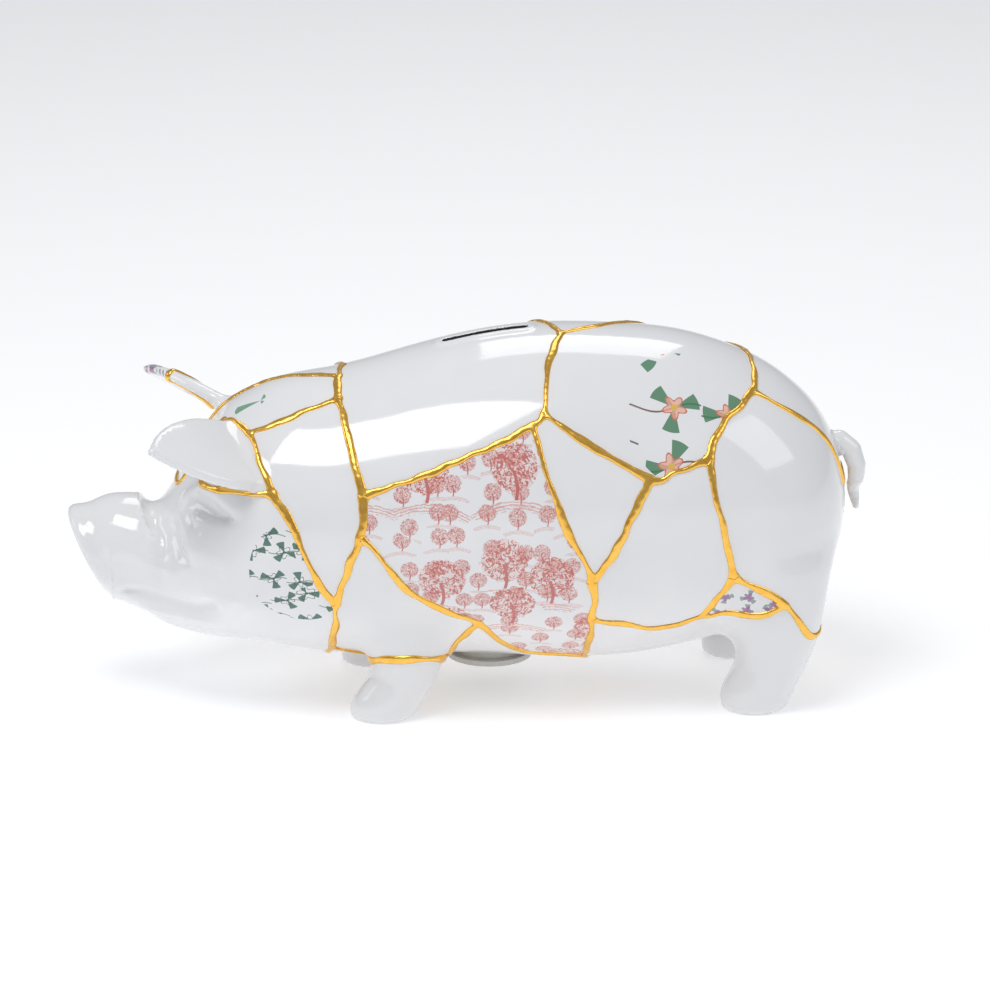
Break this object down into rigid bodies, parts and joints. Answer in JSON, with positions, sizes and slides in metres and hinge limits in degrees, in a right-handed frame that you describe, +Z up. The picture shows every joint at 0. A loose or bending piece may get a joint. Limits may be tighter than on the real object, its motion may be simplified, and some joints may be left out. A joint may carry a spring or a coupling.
{
  "type": "piggy bank",
  "caption": "Pig-shaped porcelain money box of printed and white shards joined by raised gold seams, with a coin slot in the back and a pull-out belly stopper.",
  "frame": {"origin": "on the floor under the middle of the animal's overall box", "axes": "+Z up, -X to the snout, -Y to the pig's left side, which carries the large print"},
  "size_m": [0.3399, 0.1464, 0.1596],
  "materials": {
    "porcelain": "gloss glaze",
    "gold": "polished gold",
    "rubber": "matte"
  },
  "bodies": {
    "pig": {"back": "porcelain", "belly_centre": "porcelain", "belly_fore": "porcelain", "crown": "porcelain", "face": "porcelain", "front_left_leg": "porcelain", "front_right_leg": "porcelain", "gold_seam_back": "gold", "gold_seam_belly": "gold", "gold_seam_collar": "gold", "gold_seam_front_left_leg": "gold", "gold_seam_front_right_leg": "gold", "gold_seam_head": "gold", "gold_seam_left_haunch": "gold", "gold_seam_left_side": "gold", "gold_seam_rear_right_leg": "gold", "gold_seam_right_ear": "gold", "gold_seam_right_haunch": "gold", "gold_seam_right_side": "gold", "gold_seam_rump": "gold", "left_ear": "porcelain", "left_flank": "porcelain", "left_haunch": "porcelain", "left_hock": "porcelain", "left_neck": "porcelain", "left_rump": "porcelain", "left_shoulder": "porcelain", "left_side": "porcelain", "left_wedge": "porcelain", "rear_right_leg": "porcelain", "right_back": "porcelain", "right_belly": "porcelain", "right_ear_tip": "porcelain", "right_flank": "porcelain", "right_haunch": "porcelain", "right_nape": "porcelain", "right_neck": "porcelain", "right_rump": "porcelain", "right_shoulder": "porcelain", "right_side": "porcelain", "rump_top": "porcelain", "saddle": "porcelain"},
    "stopper": {"stopper": "rubber"}
  },
  "joints": [
    {"name": "stopper_pull", "type": "slide", "parent": "pig", "child": "stopper", "axis": [0, 0, -1], "range_m": [0, 0.012]}
  ]
}
